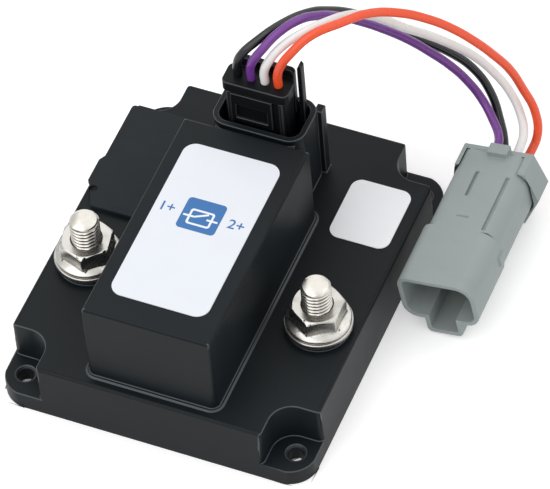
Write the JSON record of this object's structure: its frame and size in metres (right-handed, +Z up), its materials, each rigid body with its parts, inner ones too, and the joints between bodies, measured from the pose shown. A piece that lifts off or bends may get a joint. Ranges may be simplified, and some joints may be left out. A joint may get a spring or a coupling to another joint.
{
  "type": "battery isolator relay",
  "caption": "Moulded relay block with a solenoid tower, threaded power terminals, a covered bank of setting switches and a short harness with a sealed connector.",
  "frame": {"origin": "centre of the housing's foot, at the height of the surface it is screwed to", "axes": "+Z up, out of the mounting surface; +Y along the long side, towards the harness socket; +X towards the side where the loose connector lies"},
  "size_m": [0.1123, 0.1269, 0.0717],
  "materials": {
    "moulded_black": "fine moulded grain, satin",
    "base_black": "plain moulded",
    "gasket_rubber": "matt",
    "cover_rubber": "matt, soft",
    "label_white": "printed film",
    "window_white": "translucent film",
    "lamp_clear": "clear",
    "board_green": "solder resist",
    "component_black": "moulded epoxy",
    "capacitor_sleeve": "heat shrink sleeve",
    "switch_red": "moulded",
    "switch_white": "moulded",
    "stud_steel": "plated, machined",
    "washer_steel": "plated, pressed",
    "nut_steel": "bright plated",
    "bar_copper": "bare copper",
    "contact_silver": "silver alloy",
    "soft_iron": "zinc plated",
    "spring_steel": "drawn wire",
    "bobbin_nylon": "natural nylon",
    "winding_copper": "enamelled wire",
    "header_black": "moulded",
    "pin_tin": "tinned",
    "plug_black": "moulded nylon",
    "seal_red": "silicone",
    "wire_black": "extruded sheath",
    "wire_purple": "extruded sheath",
    "wire_white": "extruded sheath",
    "wire_orange": "extruded sheath",
    "connector_grey": "moulded, satin",
    "wedge_orange": "moulded",
    "connector_rubber": "silicone"
  },
  "bodies": {
    "relay": {"housing": "moulded_black", "base_plate": "base_black", "base_gasket": "gasket_rubber", "tower_label": "label_white", "status_window": "window_white", "status_lamp": "lamp_clear", "circuit_board": "board_green", "board_components": "component_black", "board_capacitor": "capacitor_sleeve", "dip_block": "switch_red", "stud_left": "stud_steel", "stud_right": "stud_steel", "busbar_left": "bar_copper", "busbar_right": "bar_copper", "contact_left": "contact_silver", "contact_right": "contact_silver", "pole_piece": "soft_iron", "yoke": "soft_iron", "pole_plate": "soft_iron", "coil_bobbin": "bobbin_nylon", "coil_winding": "winding_copper", "socket_header": "header_black", "socket_pins": "pin_tin"},
    "harness": {"plug_housing": "plug_black", "plug_cap": "plug_black", "plug_latch": "plug_black", "plug_clip": "plug_black", "plug_terminals": "pin_tin", "plug_seal": "seal_red", "wire_black": "wire_black", "wire_purple": "wire_purple", "wire_white": "wire_white", "wire_orange": "wire_orange", "connector_shell": "connector_grey", "connector_wedge": "wedge_orange", "connector_pins": "pin_tin", "connector_seal": "connector_rubber"},
    "armature": {"plunger": "soft_iron", "contact_bridge": "bar_copper", "bridge_contacts": "contact_silver", "return_spring": "spring_steel"},
    "washer_left": {"washer_left": "washer_steel"},
    "washer_right": {"washer_right": "washer_steel"},
    "nut_left": {"nut_left": "nut_steel"},
    "nut_right": {"nut_right": "nut_steel"},
    "dip_cover": {"dip_cover": "cover_rubber"},
    "dip_slider_1": {"dip_slider_1": "switch_white"},
    "dip_slider_2": {"dip_slider_2": "switch_white"},
    "dip_slider_3": {"dip_slider_3": "switch_white"},
    "dip_slider_4": {"dip_slider_4": "switch_white"},
    "plug_lock": {"plug_lock": "plug_black"}
  },
  "joints": [
    {"name": "washer_left_lift", "type": "slide", "parent": "relay", "child": "washer_left", "axis": [0, 0, 1], "range_m": [0, 0.012]},
    {"name": "nut_left_turn", "type": "hinge", "parent": "washer_left", "child": "nut_left", "pos_m": [-0.032, -0.0134, 0.0204], "axis": [0, 0, 1], "range_deg": [0, 3460]},
    {"name": "washer_right_lift", "type": "slide", "parent": "relay", "child": "washer_right", "axis": [0, 0, 1], "range_m": [0, 0.012]},
    {"name": "nut_right_turn", "type": "hinge", "parent": "washer_right", "child": "nut_right", "pos_m": [0.032, -0.0134, 0.0204], "axis": [0, 0, 1], "range_deg": [0, 3460]},
    {"name": "armature_travel", "type": "slide", "parent": "relay", "child": "armature", "axis": [0, 0, -1], "range_m": [0, 0.0016], "stiffness_N_per_m": 800, "springref_m": -0.0025, "deforming": ["return_spring"]},
    {"name": "dip_cover_lift", "type": "slide", "parent": "relay", "child": "dip_cover", "axis": [0, 0, 1], "range_m": [0, 0.012]},
    {"name": "dip_slider_1_travel", "type": "slide", "parent": "relay", "child": "dip_slider_1", "axis": [1, 0, 0], "range_m": [0, 0.002]},
    {"name": "dip_slider_2_travel", "type": "slide", "parent": "relay", "child": "dip_slider_2", "axis": [1, 0, 0], "range_m": [0, 0.002]},
    {"name": "dip_slider_3_travel", "type": "slide", "parent": "relay", "child": "dip_slider_3", "axis": [1, 0, 0], "range_m": [0, 0.002]},
    {"name": "dip_slider_4_travel", "type": "slide", "parent": "relay", "child": "dip_slider_4", "axis": [1, 0, 0], "range_m": [0, 0.002]},
    {"name": "harness_unplug", "type": "slide", "parent": "relay", "child": "harness", "axis": [0, 0, 1], "range_m": [0, 0.024]},
    {"name": "plug_lock_pull", "type": "slide", "parent": "harness", "child": "plug_lock", "axis": [0, 0, 1], "range_m": [0, 0.006]}
  ],
  "couplings": [
    {"joint": "nut_left_turn", "follows": "washer_left_lift", "rad_per_m": 5026.5},
    {"joint": "nut_right_turn", "follows": "washer_right_lift", "rad_per_m": 5026.5}
  ]
}
